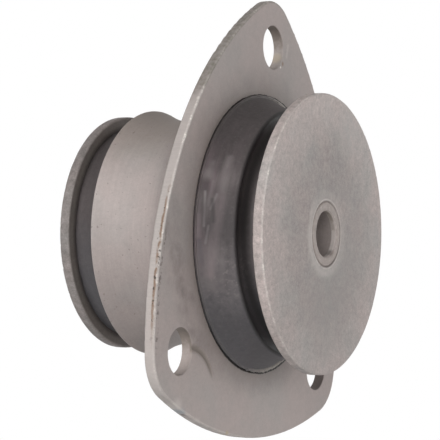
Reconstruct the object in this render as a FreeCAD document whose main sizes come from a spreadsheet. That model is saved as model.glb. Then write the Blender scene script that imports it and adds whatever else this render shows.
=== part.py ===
import FreeCAD, Part
import math
import os

import Sketcher
from FreeCAD import Placement, Rotation, Vector

# Cab bump stop: rubber bonded between a pressed steel flange with an hourglass shell and a central steel
# sleeve, with a large and a smaller steel disc on the sleeve's ends.
# +X runs along the bolt bore towards the larger disc and +Z points at the single hole in the flange's apex.
# The origin lies on the bore's axis, where it crosses the flange's front face. Sizes are in millimetres.

SIZES = {
    # pressed flange and shell, one sheet
    "sheet_thickness": 4.0,
    "bolt_hole_diameter": 16.5,
    "top_hole_height": 71.5,
    "lower_hole_spacing": 110.5,
    "lower_hole_drop": 48.0,
    "corner_radius": 17.7,
    "side_arc_radius": 137.0,
    "base_arc_radius": 163.0,
    "bend_radius": 4.0,
    "waist_depth": 28.0,
    "waist_radius": 42.5,
    "waist_arc_radius": 34.9,
    "rim_depth": 46.0,
    "edge_round": 0.7,
    "hole_round": 0.4,
    # crescent that the press left in the flange's face beside one lower hole: its centre from the hole's, the
    # ring that bit it, where it is deepest and how far that ring leaned out of the face
    "mark_inset": 9.0,
    "mark_drop": 15.0,
    "mark_radius": 17.0,
    "mark_tool_radius": 1.8,
    "mark_depth": 0.6,
    "mark_turn_deg": 66.0,
    "mark_lean_deg": 7.0,
    # discs on the sleeve's ends, the front one a little smaller than the rubber lobe that stops it
    "front_disc_inset": 0.1,
    "front_disc_thickness": 4.0,
    "front_reach": 27.0,
    "rear_disc_radius": 45.2,
    "rear_disc_thickness": 4.0,
    "rear_reach": 61.0,
    "disc_edge_round": 0.8,
    "disc_hole_chamfer": 0.4,
    # steel tube through the middle
    "sleeve_outer_radius": 12.0,
    "sleeve_bore_radius": 8.5,
    "sleeve_end_chamfer": 0.5,
    # moulded rubber: its lobe ends just inside the shell's mouth, and the rest steps in from there
    "lobe_edge_inset": 1.7,
    "lobe_edge_lift": 0.6,
    "flank_radius": 30.0,
    "crest_height": 13.4,
    "crest_inset": 6.9,
    "bead_radius": 1.1,
    "groove_radius": 5.0,
    "groove_inset": 7.2,
    "rear_seat_inset": 4.8,
    "rear_hollow_radius": 24.0,
}

# Sizes worked out from the driving ones, in this order, each as an expression.
WORKED_OUT = {
    "bolt_hole_radius": "Sizes.bolt_hole_diameter / 2",
    "lower_hole_offset": "Sizes.lower_hole_spacing / 2",
    "bend_depth": "Sizes.sheet_thickness + Sizes.bend_radius",
    "waist_centre_radius": "Sizes.waist_radius + Sizes.waist_arc_radius",
    "mouth_radius": "Worked.waist_centre_radius - sqrt((Sizes.waist_arc_radius - Sizes.bend_radius)^2"
                    " - (Sizes.waist_depth - Worked.bend_depth)^2)",
    "rim_radius": "Worked.waist_centre_radius - sqrt(Sizes.waist_arc_radius^2"
                  " - (Sizes.rim_depth - Sizes.waist_depth)^2)",
    "front_disc_back": "Sizes.front_reach - Sizes.front_disc_thickness",
    "rear_disc_front": "Sizes.rear_reach - Sizes.rear_disc_thickness",
    "lobe_edge_radius": "Worked.mouth_radius - Sizes.lobe_edge_inset",
    "front_disc_radius": "Worked.lobe_edge_radius - Sizes.front_disc_inset",
    "crest_radius": "Worked.lobe_edge_radius - Sizes.crest_inset",
    "front_neck_radius": "Worked.crest_radius - Sizes.groove_inset",
    "rear_seat_radius": "Sizes.rear_disc_radius - Sizes.rear_seat_inset",
}

TOUCH = 1e-4

# A sketch's own numbers for the points of an edge and for its origin and axes, and the two ways round an arc.
START, END, CENTRE = range(1, 4)
ACROSS_AXIS, UP_AXIS = range(-1, -3, -1)
ORIGIN = (ACROSS_AXIS, START)
ANTICLOCKWISE, CLOCKWISE = range(2)


def fill_sheet(doc):
    """Puts each driving size in a cell with its own alias."""
    sheet = doc.addObject("Spreadsheet::Sheet", "Sizes")
    for row, (alias, value) in enumerate(SIZES.items(), start=1):
        sheet.set(f"A{row}", alias.replace("_", " "))
        sheet.set(f"B{row}", str(value))
        sheet.setAlias(f"B{row}", alias)
    doc.recompute()
    return sheet


def fill_worked_out(doc):
    """Holds the sizes that follow from the driving ones."""
    worked = doc.addObject("App::VarSet", "Worked")
    for name, expression in WORKED_OUT.items():
        worked.addProperty("App::PropertyFloat", name, "Worked out")
        worked.setExpression(name, expression)
    doc.recompute()
    return worked


def origin_plane(body, role):
    """One of the body's own origin planes."""
    return next(plane for plane in body.Origin.OriginFeatures if plane.Role == role)


def values_of(item, *expressions):
    """What each expression comes to, as plain numbers."""
    return [float(item.evalExpression(expression)) for expression in expressions]


def polar_point(centre, towards, distance):
    """The point at a distance from centre, on the line to another point."""
    reach = math.dist(centre, towards)
    return tuple(c + (t - c) * distance / reach for c, t in zip(centre, towards))


def arc_centres(first, second, first_distance, second_distance):
    """The two points at given distances from two others, with the one further from the bore's axis first."""
    span = math.dist(first, second)
    along = (first_distance ** 2 - second_distance ** 2 + span ** 2) / (2 * span)
    off = math.sqrt(first_distance ** 2 - along ** 2)
    step = [(b - a) / span for a, b in zip(first, second)]
    foot = (first[0] + step[0] * along, first[1] + step[1] * along)
    sides = [(foot[0] + shift * step[1], foot[1] - shift * step[0]) for shift in (off, -off)]
    return sorted(sides, key=lambda point: -point[1])


class Profile:
    """A closed sketch drawn edge after edge, with each size in it bound to an expression."""

    def __init__(self, body, name, plane_role):
        self.sketch = body.newObject("Sketcher::SketchObject", name)
        self.sketch.AttachmentSupport = [(origin_plane(body, plane_role), "")]
        self.sketch.MapMode = "FlatFace"
        self.ends = {}

    def line(self, start, end):
        index = self.sketch.addGeometry(Part.LineSegment(Vector(*start, 0), Vector(*end, 0)), False)
        self.ends[index] = (START, END)
        return index

    def arc(self, centre, start, end, turn):
        first, last = (start, end) if turn == ANTICLOCKWISE else (end, start)
        circle = Part.Circle(Vector(*centre, 0), Vector(0, 0, 1), math.dist(centre, start))
        angles = [math.atan2(point[1] - centre[1], point[0] - centre[0]) for point in (first, last)]
        index = self.sketch.addGeometry(Part.ArcOfCircle(circle, *angles), False)
        self.ends[index] = (START, END) if turn == ANTICLOCKWISE else (END, START)
        return index

    def circle(self, centre, radius):
        return self.sketch.addGeometry(Part.Circle(Vector(*centre, 0), Vector(0, 0, 1), radius), False)

    def rule(self, kind, *references):
        return self.sketch.addConstraint(Sketcher.Constraint(kind, *references))

    def chain(self, edges, smooth_after=()):
        """Joins the edges into a loop, smoothly after those that are named."""
        for edge, following in zip(edges, edges[1:] + edges[:1]):
            kind = "Tangent" if edge in smooth_after else "Coincident"
            self.rule(kind, edge, self.ends[edge][1], following, self.ends[following][0])

    def size(self, name, expression, kind, *references):
        index = self.rule(kind, *references, *values_of(self.sketch, expression))
        self.sketch.renameConstraint(index, name)
        self.sketch.setExpression(f"Constraints.{name}", expression)

    def radius(self, name, expression, edge):
        self.size(name, expression, "Radius", edge)

    def across(self, name, expression, edge, position):
        """Where a point of an edge lies along the level axis."""
        self.size(name, expression, "DistanceX", *ORIGIN, edge, position)

    def up(self, name, expression, edge, position):
        """Where a point of an edge lies along the upright axis."""
        self.size(name, expression, "DistanceY", *ORIGIN, edge, position)


def new_body(doc, label):
    body = doc.addObject("PartDesign::Body", label)
    body.Label = label
    body.Placement = Placement()
    return body


def turn_about_bore(body, profile, kind, name):
    """Adds or takes away the profile's area, turned all the way about the sketch's level axis."""
    feature = body.newObject(f"PartDesign::{kind}", name)
    feature.Profile = profile.sketch
    feature.ReferenceAxis = (profile.sketch, ["H_Axis"])
    feature.Angle = 360.0
    return feature


def edges_where(feature, test):
    """Names of the feature's edges that pass the test, given each edge and its middle point."""
    feature.Document.recompute()
    named = []
    for number, edge in enumerate(feature.Shape.Edges, start=1):
        middle = edge.valueAt((edge.FirstParameter + edge.LastParameter) / 2)
        if test(edge, middle):
            named.append(f"Edge{number}")
    return named


def dress(body, base, kind, name, edges, expression):
    """Rounds or chamfers the named edges of the base feature."""
    feature = body.newObject(f"PartDesign::{kind}", name)
    feature.Base = (base, edges)
    feature.setExpression("Radius" if kind == "Fillet" else "Size", expression)
    return feature


def on_ring(middle, place, radius):
    """True where an edge's middle lies on the circle about the bore with that place and radius."""
    return abs(middle.x - place) < TOUCH and abs(math.hypot(middle.y, middle.z) - radius) < TOUCH


def shell_points(size, worked, inwards):
    """Centres and joints of the shell's skin, moved inwards from the outer skin by a distance.

    The skin is an arc about the bend behind the flange, then a wide arc round the waist, and ends at the rim.
    """
    waist_centre = (-size.waist_depth, worked.waist_centre_radius)
    bend_centre = (-worked.bend_depth, worked.mouth_radius)
    skin = size.waist_arc_radius + inwards
    rim_drop = math.sqrt(skin ** 2 - (size.rim_depth - size.waist_depth) ** 2)
    return {
        "waist_centre": waist_centre,
        "bend_centre": bend_centre,
        "mouth": (bend_centre[0] + size.bend_radius + inwards, bend_centre[1]),
        "touch": polar_point(waist_centre, bend_centre, skin),
        "rim": (-size.rim_depth, waist_centre[1] - rim_drop),
    }


def bind_shell_arcs(profile, bend, waist, inwards):
    """Sizes of the bend and the waist arc, on a skin moved inwards by an expression, as far as the rim."""
    profile.radius("bend_skin_radius", f"Sizes.bend_radius + {inwards}", bend)
    profile.across("bend_place", "-Worked.bend_depth", bend, CENTRE)
    profile.radius("waist_skin_radius", f"Sizes.waist_arc_radius + {inwards}", waist)
    profile.across("waist_place", "-Sizes.waist_depth", waist, CENTRE)
    profile.up("waist_centre_height", "Worked.waist_centre_radius", waist, CENTRE)
    profile.across("rim_place", "-Sizes.rim_depth", waist, profile.ends[waist][1])


def shell_profile(body, name, size, worked, inwards, inwards_expression):
    """Area between the bore's axis and one skin of the shell, from the flange to the rim."""
    at = shell_points(size, worked, inwards)
    profile = Profile(body, name, "XY_Plane")
    foot = (at["mouth"][0], 0.0)
    rim_foot = (at["rim"][0], 0.0)
    axis = profile.line(rim_foot, foot)
    face = profile.line(foot, at["mouth"])
    bend = profile.arc(at["bend_centre"], at["mouth"], at["touch"], CLOCKWISE)
    waist = profile.arc(at["waist_centre"], at["touch"], at["rim"], CLOCKWISE)
    end = profile.line(at["rim"], rim_foot)
    profile.chain([axis, face, bend, waist, end], smooth_after={face, bend})
    profile.rule("PointOnObject", axis, START, ACROSS_AXIS)
    profile.rule("PointOnObject", axis, END, ACROSS_AXIS)
    profile.rule("Vertical", face)
    profile.rule("Vertical", end)
    bind_shell_arcs(profile, bend, waist, inwards_expression)
    return profile


def mirrored(point):
    """The point on the other side of the upright axis."""
    return (-point[0], point[1])


def plate_points(size, worked):
    """Centres of the plate's arcs, on the right half, and the points where they run into each other."""
    corner = size.corner_radius
    top = (0.0, size.top_hole_height)
    right = (worked.lower_hole_offset, -size.lower_hole_drop)
    reach = size.side_arc_radius - corner
    side = min(arc_centres(top, right, reach, reach))
    base = (0.0, right[1] + math.sqrt((size.base_arc_radius - corner) ** 2 - right[0] ** 2))
    return {
        "top": top,
        "right": right,
        "side": side,
        "base": base,
        "high": polar_point(side, top, size.side_arc_radius),
        "low": polar_point(side, right, size.side_arc_radius),
        "foot": polar_point(base, right, size.base_arc_radius),
    }


def plate_profile(body, size, worked):
    """Rounded triangle: a round corner about each bolt hole, joined by wide arcs that bulge outwards."""
    at = plate_points(size, worked)
    flipped = {name: mirrored(point) for name, point in at.items()}
    profile = Profile(body, "plate_outline", "YZ_Plane")
    edges = [
        profile.arc(at["top"], at["high"], flipped["high"], ANTICLOCKWISE),
        profile.arc(flipped["side"], flipped["high"], flipped["low"], ANTICLOCKWISE),
        profile.arc(flipped["right"], flipped["low"], flipped["foot"], ANTICLOCKWISE),
        profile.arc(at["base"], flipped["foot"], at["foot"], ANTICLOCKWISE),
        profile.arc(at["right"], at["foot"], at["low"], ANTICLOCKWISE),
        profile.arc(at["side"], at["low"], at["high"], ANTICLOCKWISE),
    ]
    apex, left_side, left_corner, foot_arc, right_corner, right_side = edges
    profile.chain(edges, smooth_after=edges)
    profile.radius("side_radius", "Sizes.side_arc_radius", right_side)
    profile.rule("Equal", right_side, left_side)
    profile.radius("base_radius", "Sizes.base_arc_radius", foot_arc)
    place_in_triangle(profile, "corner_radius", "Sizes.corner_radius", apex, left_corner, right_corner)
    return profile


def place_in_triangle(profile, radius_name, radius, top, left, right):
    """Gives three circles or arcs one radius, and centres them on the three bolts."""
    profile.radius(radius_name, radius, top)
    profile.rule("Equal", top, left)
    profile.rule("Equal", top, right)
    profile.rule("PointOnObject", top, CENTRE, UP_AXIS)
    profile.up("top_height", "Sizes.top_hole_height", top, CENTRE)
    profile.across("lower_offset", "Worked.lower_hole_offset", right, CENTRE)
    profile.up("lower_height", "-Sizes.lower_hole_drop", right, CENTRE)
    profile.rule("Symmetric", left, CENTRE, right, CENTRE, UP_AXIS)


def bolt_hole_profile(body, size, worked):
    """The three bolt holes: one in the apex and a pair below."""
    profile = Profile(body, "bolt_hole_circles", "YZ_Plane")
    at = plate_points(size, worked)
    centres = (at["top"], mirrored(at["right"]), at["right"])
    circles = [profile.circle(centre, worked.bolt_hole_radius) for centre in centres]
    place_in_triangle(profile, "hole_radius", "Worked.bolt_hole_radius", *circles)
    return profile


def pad_plate(body, size, worked):
    """The plate's outline, drawn back from the front face by the sheet's thickness."""
    pad = body.newObject("PartDesign::Pad", "plate")
    pad.Profile = plate_profile(body, size, worked).sketch
    pad.setExpression("Length", "Sizes.sheet_thickness")
    pad.Reversed = True


def cut_bolt_holes(body, size, worked):
    """Pockets the bolt holes right through the flange."""
    pocket = body.newObject("PartDesign::Pocket", "bolt_holes")
    pocket.Profile = bolt_hole_profile(body, size, worked).sketch
    pocket.setExpression("Length", "Sizes.sheet_thickness")
    return pocket


def round_flange_edges(body, size, worked, sheared):
    """Rounds the plate's sheared outline more, and the mouths of the holes and the shell's rim less."""
    shell_mouth = shell_points(size, worked, size.sheet_thickness)["mouth"][1]

    def is_hole(edge):
        return hasattr(edge.Curve, "Radius") and abs(edge.Curve.Radius - worked.bolt_hole_radius) < TOUCH

    def on_outline(edge, middle):
        on_a_face = min(abs(middle.x), abs(middle.x + size.sheet_thickness)) < TOUCH
        return on_a_face and math.hypot(middle.y, middle.z) > shell_mouth + TOUCH and not is_hole(edge)

    def on_mouth_or_rim(edge, middle):
        in_front = abs(middle.x) < TOUCH
        return in_front and is_hole(edge) or on_ring(middle, -size.rim_depth, worked.rim_radius)

    outline = edges_where(sheared, on_outline)
    rounded = dress(body, sheared, "Fillet", "outline_edges", outline, "Sizes.edge_round")
    softened = edges_where(rounded, on_mouth_or_rim)
    dress(body, rounded, "Fillet", "hole_and_rim_edges", softened, "Sizes.hole_round")


def cut_press_mark(body, size, worked):
    """A ring leaned out of the face, so that it only bites along one stretch and fades out at both ends."""
    ring = body.newObject("PartDesign::SubtractiveTorus", "press_mark")
    ring.setExpression("Radius1", "Sizes.mark_radius")
    ring.setExpression("Radius2", "Sizes.mark_tool_radius")
    turn, lean = math.radians(size.mark_turn_deg), math.radians(size.mark_lean_deg)
    outward = Vector(0, math.cos(turn), math.sin(turn))
    hinge = Vector(1, 0, 0).cross(outward)
    hole_centre = Vector(0, -worked.lower_hole_offset, -size.lower_hole_drop)
    mark_centre = hole_centre + Vector(0, size.mark_inset, -size.mark_drop)
    deepest = outward * size.mark_radius + Vector(size.mark_tool_radius - size.mark_depth, 0, 0)
    ring_centre = deepest - outward * size.mark_radius * math.cos(lean)
    ring_centre += Vector(size.mark_radius * math.sin(lean), 0, 0)
    upright = Rotation(Vector(0, 0, 1), Vector(1, 0, 0))
    leaned = Rotation(hinge, size.mark_lean_deg).multiply(upright)
    ring.Placement = Placement(mark_centre + ring_centre, leaned)


def make_mounting_flange(doc, size, worked):
    """Flange plate and hourglass shell, pressed from one sheet."""
    body = new_body(doc, "mounting_flange")
    pad_plate(body, size, worked)
    outside = shell_profile(body, "shell_outside", size, worked, 0.0, "0")
    turn_about_bore(body, outside, "Revolution", "shell")
    inside = shell_profile(body, "shell_inside", size, worked, size.sheet_thickness, "Sizes.sheet_thickness")
    turn_about_bore(body, inside, "Groove", "shell_bore")
    sheared = cut_bolt_holes(body, size, worked)
    round_flange_edges(body, size, worked, sheared)
    cut_press_mark(body, size, worked)
    return body


def lobe_points(size, worked):
    """Joints and centres of the front lobe: its edge, hollow flank, crest bead and the groove below it."""
    bead = (size.crest_height - size.bead_radius, worked.crest_radius)
    groove_height = worked.front_neck_radius + size.groove_radius
    gap = size.groove_radius + size.bead_radius
    groove = (bead[0] + math.sqrt(gap ** 2 - (bead[1] - groove_height) ** 2), groove_height)
    edge = (size.lobe_edge_lift, worked.lobe_edge_radius)
    flank = arc_centres(edge, bead, size.flank_radius, size.flank_radius + size.bead_radius)[0]
    return {
        "bead": bead,
        "groove": groove,
        "groove_floor": (groove[0], worked.front_neck_radius),
        "groove_touch": polar_point(bead, groove, size.bead_radius),
        "flank": flank,
        "flank_touch": polar_point(bead, flank, size.bead_radius),
        "edge": edge,
    }


def rubber_points(size, worked):
    """Centres and joints of the rubber's section, from the front disc round the shell to the rear disc."""
    skin = shell_points(size, worked, size.sheet_thickness)
    bend_skin_radius = size.bend_radius + size.sheet_thickness
    foot_place = math.sqrt(bend_skin_radius ** 2 - size.lobe_edge_inset ** 2) - worked.bend_depth
    rear_seat = (-worked.rear_disc_front, worked.rear_seat_radius)
    return {
        **skin,
        **lobe_points(size, worked),
        "foot": (foot_place, worked.lobe_edge_radius),
        "front_seat": (worked.front_disc_back, worked.front_neck_radius),
        "front_corner": (worked.front_disc_back, size.sleeve_outer_radius),
        "rear_seat": rear_seat,
        "rear_corner": (-worked.rear_disc_front, size.sleeve_outer_radius),
        "hollow": arc_centres(skin["rim"], rear_seat, size.rear_hollow_radius, size.rear_hollow_radius)[0],
    }


def make_rubber_body(doc, size, worked):
    """One moulding: front lobe with its crest, the fill of the shell, and the band at the rear disc."""
    body = new_body(doc, "rubber_body")
    at = rubber_points(size, worked)
    profile = Profile(body, "rubber_section", "XY_Plane")
    front = profile.line(at["front_corner"], at["front_seat"])
    neck = profile.line(at["front_seat"], at["groove_floor"])
    groove = profile.arc(at["groove"], at["groove_floor"], at["groove_touch"], CLOCKWISE)
    bead = profile.arc(at["bead"], at["groove_touch"], at["flank_touch"], ANTICLOCKWISE)
    flank = profile.arc(at["flank"], at["flank_touch"], at["edge"], CLOCKWISE)
    lip = profile.line(at["edge"], at["foot"])
    bend = profile.arc(at["bend_centre"], at["foot"], at["touch"], CLOCKWISE)
    waist = profile.arc(at["waist_centre"], at["touch"], at["rim"], CLOCKWISE)
    hollow = profile.arc(at["hollow"], at["rim"], at["rear_seat"], CLOCKWISE)
    rear = profile.line(at["rear_seat"], at["rear_corner"])
    inner = profile.line(at["rear_corner"], at["front_corner"])
    profile.chain([front, neck, groove, bead, flank, lip, bend, waist, hollow, rear, inner],
                  smooth_after={neck, groove, bead, bend})
    for level in (neck, lip, inner):
        profile.rule("Horizontal", level)
    for upright in (front, rear):
        profile.rule("Vertical", upright)
    bind_shell_arcs(profile, bend, waist, "Sizes.sheet_thickness")
    profile.across("front_face", "Worked.front_disc_back", front, START)
    profile.up("bonded_radius", "Sizes.sleeve_outer_radius", front, START)
    profile.up("neck_radius", "Worked.front_neck_radius", front, END)
    profile.radius("groove_radius", "Sizes.groove_radius", groove)
    profile.radius("bead_radius", "Sizes.bead_radius", bead)
    profile.across("bead_place", "Sizes.crest_height - Sizes.bead_radius", bead, CENTRE)
    profile.up("crest_radius", "Worked.crest_radius", bead, CENTRE)
    profile.radius("flank_radius", "Sizes.flank_radius", flank)
    profile.across("lip_lift", "Sizes.lobe_edge_lift", lip, START)
    profile.up("lip_radius", "Worked.lobe_edge_radius", lip, START)
    profile.across("rear_face", "-Worked.rear_disc_front", rear, START)
    profile.up("rear_seat_radius", "Worked.rear_seat_radius", rear, START)
    profile.radius("hollow_radius", "Sizes.rear_hollow_radius", hollow)
    turn_about_bore(body, profile, "Revolution", "rubber")
    return body


def turned_ring(body, name, back, front, inner, outer):
    """A ring about the bore, between two places along it and two radii, each an expression."""
    profile = Profile(body, f"{name}_section", "XY_Plane")
    low, high, hole, rim = values_of(profile.sketch, back, front, inner, outer)
    corners = [(low, hole), (high, hole), (high, rim), (low, rim)]
    edges = [profile.line(start, end) for start, end in zip(corners, corners[1:] + corners[:1])]
    profile.chain(edges)
    wall, front_face, skin, back_face = edges
    for level in (wall, skin):
        profile.rule("Horizontal", level)
    for upright in (front_face, back_face):
        profile.rule("Vertical", upright)
    profile.across("back_place", back, wall, START)
    profile.across("front_place", front, wall, END)
    profile.up("inner_radius", inner, wall, START)
    profile.up("outer_radius", outer, skin, START)
    return turn_about_bore(body, profile, "Revolution", name)


def make_end_disc(doc, label, back, front, radius):
    """A flat disc on the sleeve, rounded at its rim, with its hole chamfered away from the flange."""
    body = new_body(doc, label)
    disc = turned_ring(body, "disc", back, front, "Sizes.sleeve_outer_radius", radius)
    low, high, hole, rim = values_of(disc, back, front, "Sizes.sleeve_outer_radius", radius)
    rims = edges_where(disc, lambda edge, middle: on_ring(middle, low, rim) or on_ring(middle, high, rim))
    rounded = dress(body, disc, "Fillet", "rim_edges", rims, "Sizes.disc_edge_round")
    outer_face = max(low, high, key=abs)
    mouth = edges_where(rounded, lambda edge, middle: on_ring(middle, outer_face, hole))
    dress(body, rounded, "Chamfer", "hole_edge", mouth, "Sizes.disc_hole_chamfer")
    return body


def make_inner_sleeve(doc):
    """Steel tube from the rear disc's outer face to the front disc's, chamfered at both ends."""
    body = new_body(doc, "inner_sleeve")
    tube = turned_ring(body, "tube", "-Sizes.rear_reach", "Sizes.front_reach",
                       "Sizes.sleeve_bore_radius", "Sizes.sleeve_outer_radius")
    ends = edges_where(tube, lambda edge, middle: isinstance(edge.Curve, Part.Circle))
    dress(body, tube, "Chamfer", "end_edges", ends, "Sizes.sleeve_end_chamfer")
    return body


def check_document(doc, bodies):
    """Stops before anything is written if a feature failed, a sketch is loose or a solid isn't sound."""
    for item in doc.Objects:
        if "Invalid" in item.State or "Error" in item.State:
            raise RuntimeError(f"{item.Label} did not build: {item.State}")
        if item.TypeId == "Sketcher::SketchObject" and not item.FullyConstrained:
            raise RuntimeError(f"{item.Label} is not fully constrained")
    for body in bodies:
        shape = body.Shape
        if shape.isNull() or not shape.isValid() or len(shape.Solids) != 1:
            raise RuntimeError(f"{body.Label} is not one sound solid")
        check_cuts(body)


def check_cuts(body):
    """Every pocket, groove and mark has to take material away."""
    features = [item for item in body.Group if item.TypeId != "Sketcher::SketchObject"]
    for earlier, feature in zip(features, features[1:]):
        cuts = feature.TypeId in ("PartDesign::Pocket", "PartDesign::Groove", "PartDesign::SubtractiveTorus")
        if cuts and not feature.Shape.Volume < earlier.Shape.Volume:
            raise RuntimeError(f"{feature.Label} took nothing away")


def main():
    doc = FreeCAD.newDocument("cab_bump_stop")
    size = fill_sheet(doc)
    worked = fill_worked_out(doc)
    bodies = [
        make_mounting_flange(doc, size, worked),
        make_rubber_body(doc, size, worked),
        make_end_disc(doc, "front_disc", "Worked.front_disc_back", "Sizes.front_reach",
                      "Worked.front_disc_radius"),
        make_end_disc(doc, "rear_disc", "-Sizes.rear_reach", "-Worked.rear_disc_front",
                      "Sizes.rear_disc_radius"),
        make_inner_sleeve(doc),
    ]
    doc.recompute()
    check_document(doc, bodies)
    os.makedirs("parts", exist_ok=True)
    for body in bodies:
        body.Shape.exportStep(f"parts/{body.Label}.step")
        print(f"{body.Label}: {body.Shape.Volume:.0f} mm3")


main()
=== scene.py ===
import math

import bpy
import numpy as np
from mathutils import Matrix, Vector


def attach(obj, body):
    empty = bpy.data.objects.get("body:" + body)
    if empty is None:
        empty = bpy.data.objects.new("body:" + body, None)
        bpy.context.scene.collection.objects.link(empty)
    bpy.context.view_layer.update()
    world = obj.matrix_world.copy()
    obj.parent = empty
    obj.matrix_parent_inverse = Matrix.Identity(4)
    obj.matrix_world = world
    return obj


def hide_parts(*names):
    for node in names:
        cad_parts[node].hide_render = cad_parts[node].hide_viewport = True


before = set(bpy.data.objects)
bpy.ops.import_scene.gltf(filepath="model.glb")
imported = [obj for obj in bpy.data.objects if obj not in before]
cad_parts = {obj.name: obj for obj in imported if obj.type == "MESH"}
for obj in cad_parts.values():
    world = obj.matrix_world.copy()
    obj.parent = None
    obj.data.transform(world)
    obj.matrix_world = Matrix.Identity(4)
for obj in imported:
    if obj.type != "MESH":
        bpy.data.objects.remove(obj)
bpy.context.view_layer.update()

# Lengths are in millimetres: x along the bore, r out from it, y across and z up. A metre holds this many.
PER_METRE = 1000.0

# The photograph's camera, fitted to the discs, the rim and the bolt holes. Its angles are in degrees, its
# distance is in metres, and places on the photograph are in pixels from the top left.
CAMERA_AZIMUTH, CAMERA_ELEVATION, CAMERA_ROLL = 28.727, -6.489, 3.846
CAMERA_DISTANCE = 0.64204
FOCAL_PIXELS = 1703.94
ORIGIN_PIXEL = (261.448, 233.524)
AXIS_PIXEL = (220.488, 221.723)
FRAME_PIXELS = 440
SENSOR_WIDTH = 36.0

# Turned steel pieces: radii, the places of faces along the bore, and how their corners are eased.
SLEEVE_BORE, SLEEVE_SKIN = 8.5, 12.0
FRONT_FACE, REAR_FACE = 27.0, -61.0
DISC_THICKNESS = 4.0
FRONT_DISC_RADIUS, REAR_DISC_RADIUS = 52.046, 45.2
DISC_ARRIS = 0.8
NICK_DEPTH = 0.16
SHARP_ROUND, EASED_ROUND, SLEEVE_ROUND = 0.05, 0.1, 0.12
DISC_CHAMFER, SLEEVE_CHAMFER = 0.4, 0.5

# Points round the bore in the surface of each kind of piece.
DISC_TURNS, SLEEVE_TURNS, RUBBER_TURNS = 720, 240, 640

# Pressed flange: centres (x, r) of the bend and of the waist, and how far the rubber's side is from each.
BEND_CENTRE = (-8.0, 53.846)
BEND_SKIN = 8.0
WAIST_CENTRE = (-28.0, 77.4)
WAIST_SKIN = 38.9
RIM_PLACE = -46.0

# Rubber moulding: its lip on the flange, its crest, and the groove between crest and disc.
LIP_RADIUS, LIP_LIFT = 51.95, 0.5
CREST = (12.3, 45.246)
CREST_BEAD = 1.1
FLANK_RADIUS = 30.0
NECK_RADIUS = 38.046
GROOVE_RADIUS = 5.0
REAR_SEAT_RADIUS = 40.4
REAR_HOLLOW_RADIUS = 24.0

# How far the rubber's skin keeps clear of the steel that it is bonded to.
BOND_SLACK = 0.03


def way_to(azimuth, elevation):
    """The way out at an azimuth and an elevation in degrees: (sin a cos e, -cos a cos e, sin e)."""
    a, e = math.radians(azimuth), math.radians(elevation)
    return Vector((math.sin(a) * math.cos(e), -math.cos(a) * math.cos(e), math.sin(e)))


def camera_axes():
    """Right, up and back of the camera: turned by the azimuth, tipped by the elevation, then rolled."""
    azimuth, roll = math.radians(CAMERA_AZIMUTH), math.radians(CAMERA_ROLL)
    back = way_to(CAMERA_AZIMUTH, CAMERA_ELEVATION)
    right = Vector((math.cos(azimuth), math.sin(azimuth), 0))
    up = back.cross(right)
    cosine, sine = math.cos(roll), math.sin(roll)
    return (cosine * right + sine * up, -sine * right + cosine * up, back)


def add_camera():
    """Makes the camera, which stands where the part's origin falls on its pixel of the photograph."""
    right, up, back = camera_axes()
    per_pixel = CAMERA_DISTANCE / FOCAL_PIXELS
    across = (ORIGIN_PIXEL[0] - AXIS_PIXEL[0]) * per_pixel
    down = (ORIGIN_PIXEL[1] - AXIS_PIXEL[1]) * per_pixel
    place = back * CAMERA_DISTANCE - right * across + up * down
    data = bpy.data.cameras.new("photo_camera")
    data.sensor_width = SENSOR_WIDTH
    data.lens = SENSOR_WIDTH * FOCAL_PIXELS / FRAME_PIXELS
    data.shift_x = (FRAME_PIXELS / 2 - AXIS_PIXEL[0]) / FRAME_PIXELS
    data.shift_y = (AXIS_PIXEL[1] - FRAME_PIXELS / 2) / FRAME_PIXELS
    data.clip_start, data.clip_end = 0.01, 20.0
    camera = bpy.data.objects.new("photo_camera", data)
    camera.matrix_world = Matrix.Translation(place) @ Matrix((right, up, back)).transposed().to_4x4()
    bpy.context.scene.collection.objects.link(camera)
    bpy.context.scene.camera = camera


# How far in from each end a straight run has a point, so that the corners shade crisply.
RUN_MARGIN = 0.12


def run(start, end, step=1.5):
    """Straight run of a section: start + (end - start) * t, with t close together by both ends.

    The end point is left to what follows.
    """
    length = math.dist(start, end)
    margin = min(RUN_MARGIN, length / 4)
    between = np.linspace(margin, length - margin, max(2, round(length / step)))
    along = np.concatenate(([0.0], between)) / length
    return np.outer(1 - along, start) + np.outer(along, end)


def bow(start, end, radius, count):
    """Arc of a section: centre + radius * (cos a, sin a), with a going evenly from start to end.

    A positive radius has its centre on the left of the way, so that it bulges outwards. The end is left
    out.
    """
    start, end = np.array(start), np.array(end)
    way = (end - start) / np.linalg.norm(end - start)
    off = math.sqrt(radius ** 2 - np.sum((end - start) ** 2) / 4) * np.sign(radius)
    centre = (start + end) / 2 + off * np.array((-way[1], way[0]))
    first, last = (math.atan2(*(point - centre)[::-1]) for point in (start, end))
    sweep = (last - first + math.pi) % (2 * math.pi) - math.pi
    angles = first + sweep * np.arange(count) / count
    return centre + abs(radius) * np.stack((np.cos(angles), np.sin(angles)), axis=1)


def rounded(corners, count=6):
    """Closed section of straight runs whose corners (x, r, round) give way to arcs of that round."""
    points = [np.array(corner[:2]) for corner in corners]
    pieces = []
    for i, corner in enumerate(corners):
        here, before, after = points[i], points[i - 1], points[(i + 1) % len(points)]
        came = (here - before) / np.linalg.norm(here - before)
        goes = (after - here) / np.linalg.norm(after - here)
        turn = math.acos(float(came @ goes))
        reach = corner[2] * math.tan(turn / 2)
        pieces.append((here - came * reach, here + goes * reach, corner[2]))
    parts = []
    for (enter, leave, radius), (following, _, _) in zip(pieces, pieces[1:] + pieces[:1]):
        parts += [bow(enter, leave, radius, count), run(leave, following)]
    return np.concatenate(parts)


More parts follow.
